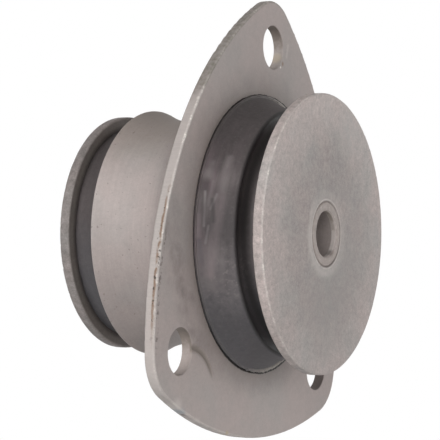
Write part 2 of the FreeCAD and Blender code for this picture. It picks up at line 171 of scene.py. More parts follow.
def section_normals(section):
    """Outward side of a closed section that goes round anticlockwise: its tangent turned to the right."""
    tangent = np.roll(section, -1, axis=0) - np.roll(section, 1, axis=0)
    tangent /= np.linalg.norm(tangent, axis=1, keepdims=True)
    return np.stack((tangent[:, 1], -tangent[:, 0]), axis=1)


def mesh_from_grid(name, points):
    """Closes a grid of points (section, turn, xyz) both ways round, as a smooth mesh in metres."""
    along, around = points.shape[:2]
    index = np.arange(along * around).reshape(along, around)
    onward, beyond = np.roll(index, -1, axis=0), np.roll(index, -1, axis=1)
    corners = np.stack((index, beyond, np.roll(onward, -1, axis=1), onward), axis=-1).reshape(-1, 4)
    mesh = bpy.data.meshes.new(name)
    mesh.vertices.add(along * around)
    mesh.vertices.foreach_set("co", (points / PER_METRE).astype(np.float32).ravel())
    mesh.loops.add(corners.size)
    mesh.loops.foreach_set("vertex_index", corners.astype(np.int32).ravel())
    mesh.polygons.add(len(corners))
    mesh.polygons.foreach_set("loop_start", np.arange(0, corners.size, 4, dtype=np.int32))
    mesh.polygons.foreach_set("use_smooth", np.ones(len(corners), dtype=bool))
    mesh.update(calc_edges=True)
    mesh.validate()
    piece = bpy.data.objects.new(name, mesh)
    bpy.context.scene.collection.objects.link(piece)
    return piece


def turned(name, section, turns, relief=None):
    """Section carried round the bore: (x + h nx, (r + h nr) cos a, (r + h nr) sin a).

    h is the relief at each section point and angle, and (nx, nr) the section's outward side.
    """
    angles = np.arange(turns) * 2 * math.pi / turns
    height = relief(section, angles) if relief else np.zeros((len(section), turns))
    side = section_normals(section)
    x = section[:, :1] + height * side[:, :1]
    r = section[:, 1:] + height * side[:, 1:]
    return mesh_from_grid(name, np.stack((x, r * np.cos(angles), r * np.sin(angles)), axis=-1))


def ripple(angles, lowest, highest, seed):
    """Wandering height round a ring: a sum of cos(k a + phase) for whole k from lowest to highest.

    Each wave has a weight by chance, and the sum is divided so that its spread is 1.
    """
    chance = np.random.default_rng(seed)
    waves = np.arange(lowest, highest + 1)
    phases = chance.uniform(0, 2 * math.pi, len(waves))
    weights = chance.uniform(0.4, 1.0, len(waves))
    total = weights @ np.cos(np.outer(waves, angles) + phases[:, None])
    return total / np.sqrt(np.sum(weights ** 2) / 2)


def near(values, middle, width):
    """Bell curve: 1 at the middle, falling away over the width."""
    return np.exp(-((values - middle) / width) ** 2)


def turn_from(angles, middle_deg):
    """Degrees from a given turn about the bore, the short way round."""
    return (np.degrees(angles) - middle_deg + 180) % 360 - 180


def disc_relief(face, radius, seed):
    """Nicks bitten out of both arrises, and a rim that wanders by a few hundredths."""
    def relief(section, angles):
        by_rim = near(section[:, 1], radius, 0.9)
        arris = near(section[:, 0], face, 0.7) * by_rim
        back = near(section[:, 0], face - math.copysign(DISC_THICKNESS, face), 0.7) * by_rim
        rim = near(section[:, 1], radius, 0.8)
        nicks = np.clip(ripple(angles, 25, 130, seed) - 1.6, 0, None)
        back_nicks = np.clip(ripple(angles, 25, 130, seed + 1) - 1.7, 0, None)
        wander = np.minimum(ripple(angles, 2, 40, seed + 2) * 0.015 - 0.03, 0.0)
        return np.outer(rim, wander) - NICK_DEPTH * (np.outer(arris, nicks) + np.outer(back, back_nicks))
    return relief


def make_disc(name, face, radius, seed):
    """Blanked disc, rounded at both arrises and chamfered round the sleeve on its outer face."""
    back = face - math.copysign(DISC_THICKNESS, face)
    low, high = sorted((face, back))
    chamfered = SLEEVE_SKIN + DISC_CHAMFER
    if face > 0:
        hole = [(low, SLEEVE_SKIN, SHARP_ROUND), (high - DISC_CHAMFER, SLEEVE_SKIN, EASED_ROUND),
                (high, chamfered, EASED_ROUND)]
    else:
        hole = [(low, chamfered, EASED_ROUND), (low + DISC_CHAMFER, SLEEVE_SKIN, EASED_ROUND),
                (high, SLEEVE_SKIN, SHARP_ROUND)]
    corners = hole + [(high, radius, DISC_ARRIS), (low, radius, DISC_ARRIS)]
    return turned(name, rounded(corners), DISC_TURNS, disc_relief(face, radius, seed))


def make_sleeve():
    """Tube with a chamfer at each of its four mouths."""
    rear, front = REAR_FACE + SLEEVE_CHAMFER, FRONT_FACE - SLEEVE_CHAMFER
    inner, outer = SLEEVE_BORE + SLEEVE_CHAMFER, SLEEVE_SKIN - SLEEVE_CHAMFER
    corners = [(rear, SLEEVE_BORE), (front, SLEEVE_BORE), (FRONT_FACE, inner), (FRONT_FACE, outer),
               (front, SLEEVE_SKIN), (rear, SLEEVE_SKIN), (REAR_FACE, outer), (REAR_FACE, inner)]
    section = rounded([(x, r, SLEEVE_ROUND) for x, r in corners])
    return turned("turned_sleeve", section, SLEEVE_TURNS)


def touch(centre, towards, distance):
    """The point at a distance from centre, on the line towards another point."""
    reach = math.dist(centre, towards)
    return tuple(c + (t - c) * distance / reach for c, t in zip(centre, towards))


def centre_between(first, second, first_distance, second_distance):
    """The point further from the bore at given distances from two others, by the law of cosines."""
    span = math.dist(first, second)
    along = (first_distance ** 2 - second_distance ** 2 + span ** 2) / (2 * span)
    off = math.sqrt(first_distance ** 2 - along ** 2)
    step = [(b - a) / span for a, b in zip(first, second)]
    foot = (first[0] + step[0] * along, first[1] + step[1] * along)
    both = [(foot[0] + side * step[1], foot[1] - side * step[0]) for side in (off, -off)]
    return max(both, key=lambda place: place[1])


# Where the lobe's flank starts, (x, r), behind the lip.
FLANK_START = (LIP_LIFT + 0.15, LIP_RADIUS - 0.85)


def flank_centre():
    """Centre (x, r) of the lobe's hollow flank, which runs from behind the lip to the crest's bead."""
    return centre_between(FLANK_START, CREST, FLANK_RADIUS, FLANK_RADIUS + CREST_BEAD)


def on_flank(turn, x):
    """The place (x, y, z) on the lobe's flank at a turn in degrees about the bore."""
    centre = flank_centre()
    r = centre[1] - math.sqrt(FLANK_RADIUS ** 2 - (x - centre[0]) ** 2)
    return (x, r * math.cos(math.radians(turn)), r * math.sin(math.radians(turn)))


def rubber_section():
    """The moulding's outline, anticlockwise from the sleeve at the front disc.

    It climbs the disc's back to the neck, dips through the groove, goes over the crest and down the flank
    to the lip, follows the inside of the bell mouth and the waist, and hollows in from the rim to the rear
    disc.
    """
    front, rear = FRONT_FACE - DISC_THICKNESS, REAR_FACE + DISC_THICKNESS
    tube_skin = SLEEVE_SKIN + BOND_SLACK
    groove_height = NECK_RADIUS + GROOVE_RADIUS
    reach = GROOVE_RADIUS + CREST_BEAD
    groove = (CREST[0] + math.sqrt(reach ** 2 - (CREST[1] - groove_height) ** 2), groove_height)
    groove_top = touch(CREST, groove, CREST_BEAD)
    lip_top = (LIP_LIFT + 0.25, LIP_RADIUS - 0.35)
    crest_end = touch(CREST, flank_centre(), CREST_BEAD)
    bend_skin, waist_skin = BEND_SKIN + BOND_SLACK, WAIST_SKIN + BOND_SLACK
    root_radius = LIP_RADIUS - 0.25
    lip_foot = (0.1, root_radius + 0.05)
    root = (BEND_CENTRE[0] + math.sqrt(bend_skin ** 2 - (BEND_CENTRE[1] - root_radius) ** 2), root_radius)
    joint = touch(WAIST_CENTRE, BEND_CENTRE, waist_skin)
    rim = (RIM_PLACE, WAIST_CENTRE[1] - math.sqrt(waist_skin ** 2 - (RIM_PLACE - WAIST_CENTRE[0]) ** 2))
    rim_foot = (rim[0] - 0.3, rim[1] - 0.05)
    seat = (rear, REAR_SEAT_RADIUS)
    return np.concatenate((
        run((front, tube_skin), (front, NECK_RADIUS), 4.0),
        run((front, NECK_RADIUS), (groove[0], NECK_RADIUS), 0.8),
        bow((groove[0], NECK_RADIUS), groove_top, -GROOVE_RADIUS, 14),
        bow(groove_top, crest_end, CREST_BEAD, 14),
        bow(crest_end, FLANK_START, -FLANK_RADIUS, 26),
        bow(FLANK_START, lip_top, -0.8, 5),
        bow(lip_top, (LIP_LIFT, LIP_RADIUS), 0.32, 6),
        run((LIP_LIFT, LIP_RADIUS), lip_foot, 0.2),
        run(lip_foot, root, 0.2),
        bow(root, joint, -bend_skin, 8),
        bow(joint, rim, -waist_skin, 20),
        run(rim, rim_foot, 0.3),
        bow(rim_foot, seat, -REAR_HOLLOW_RADIUS, 16),
        run(seat, (rear, tube_skin), 4.0),
        run((rear, tube_skin), (front, tube_skin), 12.0),
    ))


def rubber_relief(section, angles):
    """Heights on the moulding: a lip that wanders, and a lobe and a rear band that are never quite true.

    Flash is torn off along the lip at the bottom, and the lip is raised at the upper and lower right.
    """
    lip = near(section[:, 0], LIP_LIFT + 0.1, 0.55) * near(section[:, 1], LIP_RADIUS - 0.2, 0.6)
    lobe = near(section[:, 0], 7.0, 4.0) * near(section[:, 1], 47.5, 2.5)
    band = near(section[:, 0], -51.5, 3.0) * (section[:, 1] > 35)
    torn = np.clip(ripple(angles, 60, 260, 5), -0.6, 2.2) * near(turn_from(angles, -84), 0, 20)
    raised = near(turn_from(angles, 66), 0, 24) + near(turn_from(angles, -62), 0, 26)
    lip_height = 0.05 * ripple(angles, 3, 60, 6) + 0.24 * torn + 0.28 * raised
    lobe_height = 0.07 * ripple(angles, 2, 12, 7)
    band_height = 0.08 * ripple(angles, 2, 14, 8)
    return np.outer(lip, lip_height) + np.outer(lobe, lobe_height) + np.outer(band, band_height)


def make_pieces():
    """Makes the turned pieces, each in the place of the plain node that it replaces."""
    pieces = {
        "front_disc": make_disc("blanked_front_disc", FRONT_FACE, FRONT_DISC_RADIUS, 11),
        "rear_disc": make_disc("blanked_rear_disc", REAR_FACE, REAR_DISC_RADIUS, 21),
        "inner_sleeve": make_sleeve(),
        "rubber_body": turned("moulded_rubber", rubber_section(), RUBBER_TURNS, rubber_relief),
    }
    for node, piece in pieces.items():
        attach(piece, "root")
        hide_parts(node)
    return pieces


# How far one step of a noise's shift moves its pattern along x, y and z.
NOISE_SHIFT = (17.3, 9.1, 23.7)
# The Mix node's sockets for two colours, and the one for its resulting colour.
MIX_FIRST, MIX_SECOND, MIX_RESULT = 6, 7, 2
# A round radius near those of the lobe and the larger disc, which scales what is drawn round the bore.
ROUND_RADIUS = 50.0


class Reading:
    """A number that varies over a surface. Sums written with it add the Math nodes that work them out."""

    def __init__(self, bench, socket):
        self.bench, self.socket = bench, socket

    def __add__(self, other):
        return self.bench.maths("ADD", self, other)

    def __sub__(self, other):
        return self.bench.maths("SUBTRACT", self, other)

    def __rsub__(self, other):
        return self.bench.maths("SUBTRACT", other, self)

    def __mul__(self, other):
        return self.bench.maths("MULTIPLY", self, other)

    def __truediv__(self, other):
        return self.bench.maths("DIVIDE", self, other)

    def __rtruediv__(self, other):
        return self.bench.maths("DIVIDE", other, self)

    def __abs__(self):
        return self.bench.maths("ABSOLUTE", self)

    __radd__, __rmul__ = __add__, __mul__

    def root(self):
        return self.bench.maths("SQRT", self)

    def at_least(self, other):
        return self.bench.maths("MAXIMUM", self, other)

    def at_most(self, other):
        return self.bench.maths("MINIMUM", self, other)

    def within(self, lowest, highest):
        return self.at_least(lowest).at_most(highest)

    def above(self, level, blur):
        """Smooth step: 0 under level - blur, 1 over level + blur."""
        values = {"Value": self, "From Min": level - blur, "From Max": level + blur}
        step = self.bench.node("ShaderNodeMapRange", {"interpolation_type": "SMOOTHSTEP"}, values)
        return Reading(self.bench, step.outputs["Result"])

    def below(self, level, blur):
        return 1 - self.above(level, blur)


def hypotenuse(*legs):
    """The distance that readings at right angles span: the root of the sum of their squares."""
    first, *others = [leg * leg for leg in legs]
    return sum(others, first).root()


class Bench:
    """One material being made up: its nodes, and the place of each point of the surface in millimetres."""

    def __init__(self, name):
        self.material = bpy.data.materials.new(name)
        self.material.use_nodes = True
        self.tree = self.material.node_tree
        self.tree.nodes.clear()
        place = self.node("ShaderNodeTexCoord").outputs["Object"]
        self.at = self.strength(place, PER_METRE)
        parts = self.node("ShaderNodeSeparateXYZ", {}, {"Vector": self.at}).outputs
        self.x, self.y, self.z = (Reading(self, parts[axis]) for axis in "XYZ")
        self.r = hypotenuse(self.y, self.z)

    def node(self, kind, settings=None, values=None):
        """Adds a node: its settings first, then the value or link of each socket named or numbered."""
        made = self.tree.nodes.new(kind)
        for setting, value in (settings or {}).items():
            setattr(made, setting, value)
        for socket, value in (values or {}).items():
            value = value.socket if isinstance(value, Reading) else value
            if isinstance(value, bpy.types.NodeSocket):
                self.tree.links.new(value, made.inputs[socket])
            else:
                made.inputs[socket].default_value = value
        return made

    def maths(self, operation, *values):
        made = self.node("ShaderNodeMath", {"operation": operation}, dict(enumerate(values)))
        return Reading(self, made.outputs["Value"])

    def vector(self, x, y, z):
        return self.node("ShaderNodeCombineXYZ", {}, dict(enumerate((x, y, z)))).outputs["Vector"]

    def noise(self, size, detail=2.0, shift=0.0, at=None, rough=0.5):
        """Soft grain whose lumps measure about size, centred on 0 and mostly within a half either way."""
        moved = self.node("ShaderNodeVectorMath", {"operation": "ADD"},
                          {0: at or self.at, 1: [shift * step for step in NOISE_SHIFT]}).outputs["Vector"]
        values = {"Vector": moved, "Scale": 1.0 / size, "Detail": detail, "Roughness": rough}
        made = self.node("ShaderNodeTexNoise", {"noise_dimensions": "3D"}, values)
        return (Reading(self, made.outputs["Fac"]) - 0.5) * 2.0

    def round_bore(self, across, along, depth=None):
        """Place for a pattern drawn out round the bore: its lumps are this wide across, and this long along.

        Across is over the depth that is given, or else over x + r.
        """
        unit_y, unit_z = self.y / self.r, self.z / self.r
        level = (self.x + self.r if depth is None else depth) / across
        reach = ROUND_RADIUS / along
        return self.vector(level, unit_y * reach, unit_z * reach)

    def blend(self, share, first, second):
        """Colour that goes from first to second as share goes from 0 to 1."""
        made = self.node("ShaderNodeMix", {"data_type": "RGBA"}, {"Factor": share})
        for number, colour in ((MIX_FIRST, first), (MIX_SECOND, second)):
            if isinstance(colour, bpy.types.NodeSocket):
                self.tree.links.new(colour, made.inputs[number])
            else:
                made.inputs[number].default_value = (*colour, 1.0)
        return made.outputs[MIX_RESULT]

    def strength(self, colour, factor):
        """Colour or place with all three parts multiplied by a factor."""
        made = self.node("ShaderNodeVectorMath", {"operation": "SCALE"}, {"Vector": colour, "Scale": factor})
        return made.outputs["Vector"]

    def spot(self, y, z, radius, blur=0.5):
        """1 within a radius of a point of the face, seen along the bore."""
        return hypotenuse(self.y - y, self.z - z).below(radius, blur * radius)

    def ball(self, x, y, z, radius, blur=0.5):
        """1 within a radius of a point of the surface."""
        return hypotenuse(self.x - x, self.y - y, self.z - z).below(radius, blur * radius)

    def streak(self, start, end, width):
        """1 along the line between two points (y, z) of the face, falling to 0 over a width at its sides."""
        way = (end[0] - start[0], end[1] - start[1])
        from_y, from_z = self.y - start[0], self.z - start[1]
        share = (from_y * way[0] + from_z * way[1]) / (way[0] ** 2 + way[1] ** 2)
        share = share.within(0.0, 1.0)
        return hypotenuse(from_y - share * way[0], from_z - share * way[1]).below(0.5 * width, 0.5 * width)

    def stroke(self, path, width):
        """1 along a path of places (x, y, z) on the surface, falling to 0 over a width at its sides."""
        nearest = None
        for start, end in zip(path, path[1:]):
            way = [b - a for a, b in zip(start, end)]
            away = [self.x - start[0], self.y - start[1], self.z - start[2]]
            share = sum((a * w for a, w in zip(away, way)), 0.0) / sum(w * w for w in way)
            share = share.within(0.0, 1.0)
            reach = hypotenuse(*(a - share * w for a, w in zip(away, way)))
            nearest = reach if nearest is None else nearest.at_most(reach)
        return nearest.below(0.5 * width, 0.5 * width)


class Finish:
    """Colour, roughness and relief that build up layer by layer, and then go on the material."""

    def __init__(self, bench, colour, roughness):
        self.bench, self.colour, self.roughness, self.relief = bench, colour, roughness, 0.0

    def tint(self, share, colour):
        self.colour = self.bench.blend(share, self.colour, colour)

    def shade(self, factor):
        self.colour = self.bench.strength(self.colour, factor)

    def lay(self, metallic, specular):
        """The relief is in millimetres, so the Bump node's distance is one of them."""
        bench = self.bench
        values = {"Height": self.relief, "Strength": 1.0, "Distance": 1 / PER_METRE}
        bump = bench.node("ShaderNodeBump", {}, values)
        rough = self.roughness.within(0.2, 1.0)
        values = {"Base Color": self.colour, "Roughness": rough, "Metallic": metallic,
                  "Specular IOR Level": specular, "Normal": bump.outputs["Normal"]}
        shader = bench.node("ShaderNodeBsdfPrincipled", {}, values)
        bench.node("ShaderNodeOutputMaterial", {}, {"Surface": shader.outputs["BSDF"]})
        return bench.material


# The steel's colours, as linear red, green and blue.
WARM_STEEL = (0.478, 0.412, 0.392)
COOL_STEEL = (0.400, 0.385, 0.370)
PALE_STEEL = (0.66, 0.61, 0.575)
BRIGHT_STEEL = (0.92, 0.87, 0.80)
DARK_SCALE = (0.17, 0.145, 0.135)
SOOTY_SCALE = (0.055, 0.048, 0.045)
OILY_BROWN = (0.30, 0.255, 0.215)
DULL_OLIVE = (0.245, 0.225, 0.195)
RUST_BROWN = (0.24, 0.145, 0.09)
TAN_STAIN = (0.50, 0.42, 0.31)
BLUE_TEMPER = (0.34, 0.41, 0.46)
GAP_SHADOW = (0.030, 0.027, 0.026)

# The steel wears a dull grey coat, so it is matt and has no metallic gloss.
STEEL_METALLIC, STEEL_SPECULAR = 0.0, 0.12


def blasted_steel(bench, blotch, grain, cool, shift):
    """Matt grey steel: slow patches of a cooler grey, blotches, and a blasted grain that is also relief.

    Blotch, grain and cool say how strong each of them is, and the shift moves their patterns.
    """
    finish = Finish(bench, WARM_STEEL, 0.58)
    clouds = bench.noise(26.0, 3.0, shift)
    blotches = bench.noise(6.0, 3.0, shift + 1)
    mottle = bench.noise(1.7, 2.0, shift + 2)
    grit = bench.noise(0.5, 2.0, shift + 3, rough=0.6)
    finish.tint(clouds.above(0.05, 0.35) * cool, COOL_STEEL)
    finish.shade(1.0 + blotches * (0.12 * blotch) + mottle * (0.16 * grain) + grit * (0.24 * grain))
    finish.roughness = 0.58 + blotches * 0.06 + mottle * 0.08
    finish.relief = grit * (0.018 * grain) + mottle * (0.03 * grain)
    return finish


def brighten_arris(finish, distance, width, broken, share):
    """Brightens an arris within a width of it, in runs broken up by grain: wear, and a painted highlight
    where the share is weighted to one side.
    """
    bench = finish.bench
    runs = bench.noise(broken, 3.0, 41).above(-0.05, 0.3)
    chips = bench.noise(0.8, 2.0, 42).above(0.08, 0.2)
    brightened = distance.below(width, 0.7 * width) * (0.35 + 0.65 * runs) * share
    finish.tint(brightened * 0.75, PALE_STEEL)
    finish.tint(brightened * chips * runs, BRIGHT_STEEL)
    finish.roughness = finish.roughness - brightened * 0.2
    finish.relief = finish.relief - brightened * chips * 0.03


# The flange's outline: centres (y, z) of the bolt holes at apex and corner, the radius about them, and the
# radii of the wide arcs between them.
APEX, CORNER, CORNER_RADIUS = (0.0, 71.5), (55.25, -48.0), 17.7
SIDE_RADIUS, BASE_RADIUS = 137.0, 163.0
BOLT_HOLE_RADIUS = 8.25
WALL_MARGIN, WALL_BLUR = 0.12, 0.015
PRESS_MARK, PRESS_MARK_RADIUS = (-46.25, -63.0), 17.0

# Sooty wipes down the left of the face: start (y, z), end (y, z) and width.
SMOKY_WIPES = [
    ((-70.5, -4.3), (-64.3, -19.7), 4.0),
    ((-66.0, 2.0), (-60.0, -24.0), 5.0),
    ((-60.3, -13.3), (-53.9, -33.5), 4.0),
    ((-65.5, -25.3), (-48.8, -29.6), 3.5),
    ((-57.4, -33.8), (-44.0, -43.3), 5.0),
    ((-49.0, -40.0), (-38.0, -45.0), 5.0),
]


def flange_inset(bench):
    """How far in from the flange's outline a point of its face is, on either half.

    It is the least of each wide arc's radius less the distance to that arc's centre, and past the ends of
    the arcs the corner's radius less the distance to the bolt hole.
    """
    half, z = abs(bench.y), bench.z
    reach = SIDE_RADIUS - CORNER_RADIUS
    middle = [(a + c) / 2 for a, c in zip(APEX, CORNER)]
    span = math.dist(APEX, CORNER)
    off = math.sqrt(reach ** 2 - span ** 2 / 4)
    side = (middle[0] + off * (CORNER[1] - APEX[1]) / span, middle[1] - off * (CORNER[0] - APEX[0]) / span)
    base = (0.0, CORNER[1] + math.sqrt((BASE_RADIUS - CORNER_RADIUS) ** 2 - CORNER[0] ** 2))

    def away(centre):
        return hypotenuse(half - centre[0], z - centre[1])

    def past(hole, centre, turn):
        """1 on one side of the line from an arc's centre through a bolt hole."""
        line = (hole[0] - centre[0], hole[1] - centre[1])
        return ((z - hole[1]) * (turn * line[0]) - (half - hole[0]) * (turn * line[1])).above(0.0, 1e-3)

    arcs = (SIDE_RADIUS - away(side)).at_most(BASE_RADIUS - away(base))
    at_apex = past(APEX, side, 1)
    at_corner = past(CORNER, side, -1) * past(CORNER, base, 1)
    on_arcs = 1 - at_apex - at_corner
    from_apex, from_corner = CORNER_RADIUS - away(APEX), CORNER_RADIUS - away(CORNER)
    return arcs * on_arcs + from_apex * at_apex + from_corner * at_corner


def dress_shell(finish):
    """The drawn shell: faint lines round it, a few specks, tarnish and painted shade along its top, and
    painted shade by the flange.

    Painted light makes it paler in a belt along its side, and painted shade darkens it beneath.
    """
    bench = finish.bench
    shell = 1 - bench.x.above(-5.0, 1.0)
    lines = bench.noise(1.0, 2.0, 9, at=bench.round_bore(0.7, 30.0, bench.x))
    finish.shade(1.0 + lines * shell * 0.07)
    # Tarnish and painted shade darken its top.
    tarnish_and_top_shade = (bench.z + bench.noise(9.0, 3.0, 10) * 8.0).above(27.0, 11.0) * shell
    finish.tint(tarnish_and_top_shade * 0.45, OILY_BROWN)
    # Painted shade by the flange, deeper at its top.
    flange_shade = bench.x.above(-21.0, 13.0) * shell
    flange_shade_top = (bench.z + bench.noise(8.0, 2.0, 25) * 5.0).above(28.0, 12.0)
    finish.shade(1.0 - flange_shade * (0.13 + 0.30 * flange_shade_top))
    # Painted shadow of the flange's edge, in a band round the waist.
    finish.shade(1.0 - bench.x.above(-22.5, 3.0) * shell * 0.18)
    # Painted light brightens a belt along its side.
    belt = abs(bench.z - 11.0 + bench.noise(12.0, 2.0, 23) * 8.0).below(13.0, 12.0)
    brightened = belt * shell * (1 - flange_shade)
    finish.shade(1.0 + brightened * 0.14)
    # Painted shade darkens it beneath.
    shade_beneath = (bench.z + bench.noise(12.0, 2.0, 24) * 8.0).below(-18.0, 14.0) * shell
    finish.shade(1.0 - shade_beneath * 0.17)
    specks = bench.noise(1.3, 1.0, 11).above(0.47, 0.05) * shell
    finish.tint(specks * 0.45, DARK_SCALE)


def dress_sheared_edge(finish, inset, on_plate):
    """The sheared edge: drawn in short lines across the sheet, with painted light down the left, and scaly
    with painted shade by the apex.
    """
    bench = finish.bench
    on_edge = inset.below(0.75, 0.2) * on_plate
    shear = bench.noise(1.0, 2.0, 15, at=bench.vector(bench.x / 5.0, bench.y / 0.6, bench.z / 0.6))
    by_apex = (bench.z + bench.noise(5.0, 2.0, 18) * 6.0).above(44.0, 5.0)
    left = bench.y.below(-8.0, 8.0) * (1 - by_apex)
    scaly = bench.noise(1.7, 3.0, 19)
    # Painted light makes the edge paler down the left; by the apex it is scaly and darkened with painted
    # shade.
    finish.tint(on_edge * left * 0.36, PALE_STEEL)
    finish.tint(on_edge * by_apex * (0.62 + scaly * 0.9), DULL_OLIVE)
    finish.shade(1.0 + shear * on_edge * 0.10)
    finish.relief = finish.relief + shear * on_edge * 0.02 + scaly * on_edge * by_apex * 0.08

    # The front arris is worn bright now and then, and down the left it is brighter still with a painted
    # highlight.
    arris = hypotenuse(bench.x + 0.1, inset - 0.1)
    worn_lit_side = bench.y.below(-30.0, 12.0) * abs(bench.z - 2.0).below(44.0, 8.0)
    brighten_arris(finish, arris, 0.5, 5.0, 0.22 + 0.78 * worn_lit_side)

    # Brown stain runs just behind that arris, broken up, and dark burr marks lie just inside it.
    stained = bench.y.below(-50.0, 8.0) * abs(bench.z + 18.0).below(24.0, 9.0)
    behind = abs(bench.x + 0.95 + bench.noise(3.0, 3.0, 16) * 0.5).below(0.42, 0.3)
    broken = bench.noise(2.6, 3.0, 20).above(-0.15, 0.25)
    finish.tint(behind * broken * on_edge * stained * 0.85, RUST_BROWN)
    nicks = bench.noise(1.5, 2.0, 21).above(0.28, 0.06) * abs(bench.x + 1.0).below(0.9, 0.3)
    finish.tint(nicks * on_edge * stained * 0.8, SOOTY_SCALE)
    burr_side = bench.y.below(-60.0, 5.0) * abs(bench.z + 28.0).below(20.0, 5.0)
    burrs = bench.noise(1.7, 2.0, 17).above(0.10, 0.1) * inset.below(2.6, 0.6) * inset.above(0.9, 0.3)
    finish.tint(burrs * burr_side * bench.x.above(-0.6, 0.2) * 0.7, DARK_SCALE)


def hole_wall(bench, y, z):
    """1 on the wall of the bolt hole whose centre is given, and 0 on the face round it."""
    return bench.spot(y, z, BOLT_HOLE_RADIUS + WALL_MARGIN, WALL_BLUR)


def dress_flange_face(finish, inset):
    """The pressed face: painted shade where the lobe shelters it, wiped with soot on the left, and marked.
    """
    bench = finish.bench
    on_face = bench.x.above(-0.9, 0.2) * inset.above(0.9, 0.4)

    # Painted shade spreads out over the face from the lobe, most of it below and browner close to it, and a
    # painted shadow lies thick in the gap beside it.
    lobe_shade_reach = bench.r + bench.noise(9.0, 3.0, 12) * 4.0
    low = (0.0 - bench.z / ROUND_RADIUS).above(0.3, 0.6)
    finish.shade(1.0 - lobe_shade_reach.below(58.0, 7.0) * on_face * (0.21 + 0.06 * low))
    finish.tint(lobe_shade_reach.below(55.0, 3.5) * on_face * 0.22, OILY_BROWN)
    # Painted shadow lies in the gap beside the lip, spread wider on the right and below.
    spread = (bench.y / bench.r).at_least(0.0) * 2.2 + (0.0 - bench.z / bench.r - 0.6).at_least(0.0) * 1.1
    spread = spread + (bench.z / bench.r - 0.55).at_least(0.0) * (bench.y / bench.r).above(-0.15, 0.2) * 0.9
    rough = bench.noise(1.3, 2.0, 13) * (0.34 + (bench.z / bench.r).above(0.7, 0.2) * 0.12)
    gap_shadow = (bench.r + rough - spread).below(52.20, 0.10) * bench.x.above(-2.4, 0.3)
    finish.tint(gap_shadow * 0.96, GAP_SHADOW)

    smoke = 0.5 + bench.noise(4.0, 3.0, 14)
    for start, end, width in SMOKY_WIPES:
        finish.shade(1.0 - bench.streak(start, end, width) * smoke * on_face * 0.22)

    # The crescent that the press left beside the lower left hole is tinted brown and darkened with painted
    # shade.
    from_mark = hypotenuse(bench.y - PRESS_MARK[0], bench.z - PRESS_MARK[1])
    ring = abs(from_mark - PRESS_MARK_RADIUS + 0.4).below(1.3, 1.0)
    crescent = ring * bench.z.above(-54.5, 3.0) * bench.y.above(-53.0, 2.0)
    finish.tint(crescent * on_face * 0.6, OILY_BROWN)
    finish.shade(1.0 - crescent * on_face * 0.22)

    # The walls of the bolt holes are tinted brown, browner and darker with painted shade towards their tops,
    # and the lower right one is darkened all over with painted shadow.
    for y, z in (APEX, CORNER, (-CORNER[0], CORNER[1])):
        wall = hole_wall(bench, y, z)
        upper_shade = (bench.z - z + bench.noise(2.0, 2.0, 22) * 4.0).above(2.5, 3.0)
        finish.tint(wall * (0.18 + upper_shade * 0.5), OILY_BROWN)
        finish.shade(1.0 - wall * upper_shade * 0.25)
    finish.shade(1.0 - hole_wall(bench, *CORNER) * 0.45)


# Bright chips on the flange's left arris and beside its top hole: y, z and radius.
EDGE_CHIPS = [(-55.2, 42.0, 1.3), (-56.6, 39.8, 0.9), (7.0, 65.3, 0.5)]

# Stains on the flange: x, y, z, radius, strength and colour.
STAINS = [
    (-0.6, 8.6, 67.0, 1.0, 0.7, RUST_BROWN),
    (-2.4, 8.0, 69.0, 2.0, 0.5, TAN_STAIN),
    (-2.0, -54.5, -67.2, 3.2, 0.6, PALE_STEEL),
    (-2.0, -50.5, -69.4, 2.4, 0.5, BLUE_TEMPER),
    (-2.0, -47.2, -70.5, 1.1, 0.8, SOOTY_SCALE),
    (-2.0, -40.0, -72.6, 2.6, 0.5, PALE_STEEL),
]


def chip_flange(finish, on_plate):
    """Chips in the finish, a scratch by the top hole, and odd stains."""
    bench = finish.bench
    for y, z, size in EDGE_CHIPS:
        finish.tint(bench.ball(-0.2, y, z, size, 0.35) * 0.95, BRIGHT_STEEL)
    finish.tint(bench.streak((12.3, 75.0), (11.5, 70.5), 1.3) * on_plate * 0.35, PALE_STEEL)
    for x, y, z, size, strength, colour in STAINS:
        finish.tint(bench.ball(x, y, z, size) * strength, colour)
    finish.tint(bench.spot(-17.0, -75.2, 1.0) * 0.8, TAN_STAIN)


def flange_steel():
    """Pressed sheet: one finish over the drawn shell, the sheared edge and the face."""
    bench = Bench("flange_steel")
    finish = blasted_steel(bench, 0.55, 0.5, 0.45, 1)
    inset = flange_inset(bench)
    on_plate = bench.x.above(-4.6, 0.3)
    finish.shade(1.0 - on_plate * 0.035)
    dress_shell(finish)
    dress_flange_face(finish, inset)
    dress_sheared_edge(finish, inset, on_plate)
    chip_flange(finish, on_plate)
    return finish.lay(STEEL_METALLIC, STEEL_SPECULAR)


def disc_steel(name, face, radius, shift):
    """Blasted disc: mottled, paler towards its rim, blots on the rim, arrises worn bright, the front one
    with a painted highlight down its left.
    """
    bench = Bench(name)
    finish = blasted_steel(bench, 1.25, 1.5, 0.7, shift)
    outward = (bench.x * math.copysign(1.0, face)) - abs(face)
    arris = hypotenuse(outward, bench.r - radius)
    back = hypotenuse(outward + DISC_THICKNESS, bench.r - radius)
    left = (0.0 - bench.y / radius).above(0.35, 0.5)
    wander = bench.noise(7.0, 3.0, shift + 5) * 6.0
    finish.shade(0.88 + 0.24 * (bench.r + wander).above(0.74 * radius, 0.26 * radius))
    rim = (bench.r - radius).above(-0.6, 0.3)
    blots = bench.noise(2.2, 3.0, shift + 7)
    finish.shade(1.0 + blots * rim * 0.36 - rim * 0.04)
    # The front arris is worn bright, with a painted highlight down the left; the back arris is worn all
    # round.
    brighten_arris(finish, arris, 0.42, 4.0, 0.3 + 0.7 * left)
    brighten_arris(finish, back, 0.4, 3.0, 0.25)
    return finish, outward


